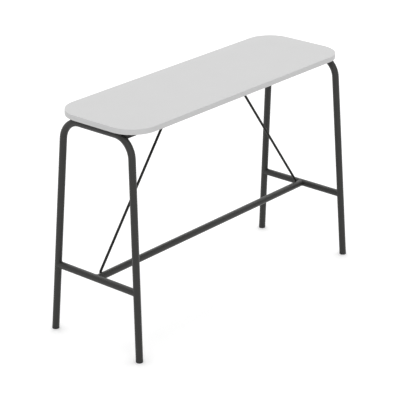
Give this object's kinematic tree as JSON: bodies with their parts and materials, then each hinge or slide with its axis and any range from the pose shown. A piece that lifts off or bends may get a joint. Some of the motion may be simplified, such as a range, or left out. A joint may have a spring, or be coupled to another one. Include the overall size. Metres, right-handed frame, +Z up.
{
  "type": "standing meeting table",
  "caption": "Bar-height rectangular table: pale rounded laminate top on splayed bent-tube end frames with footrails, a long stretcher and thin diagonal brace rods.",
  "frame": {"origin": "on the floor under the middle of the top", "axes": "+X along the table to the right, +Y to the back, +Z up"},
  "size_m": [1.551, 0.549, 1.06],
  "materials": {
    "laminate": "pale grey high-pressure laminate, fine matt texture",
    "backing": "plain backing laminate, matt",
    "board": "raw particle board",
    "edging": "pale grey ABS edging, satin",
    "powder_coat": "charcoal powder coat, fine texture, satin",
    "plug": "black moulded polyethylene",
    "black_screw": "black oxide",
    "zinc": "bright zinc plating"
  },
  "bodies": {
    "root": {"top_core": "board", "top_laminate": "laminate", "backing_laminate": "backing", "edge_band": "edging", "frame_left": "powder_coat", "frame_right": "powder_coat", "footrail_left": "powder_coat", "footrail_right": "powder_coat", "stretcher": "powder_coat", "under_rail_front": "powder_coat", "under_rail_back": "powder_coat", "strap_left": "powder_coat", "strap_right": "powder_coat", "brace_rod_left": "powder_coat", "brace_rod_right": "powder_coat", "foot_plug_left_front": "plug", "foot_plug_left_back": "plug", "foot_plug_right_front": "plug", "foot_plug_right_back": "plug", "rail_screws": "black_screw", "rail_washers": "zinc", "threaded_inserts": "zinc", "strap_screws": "black_screw"}
  },
  "joints": []
}
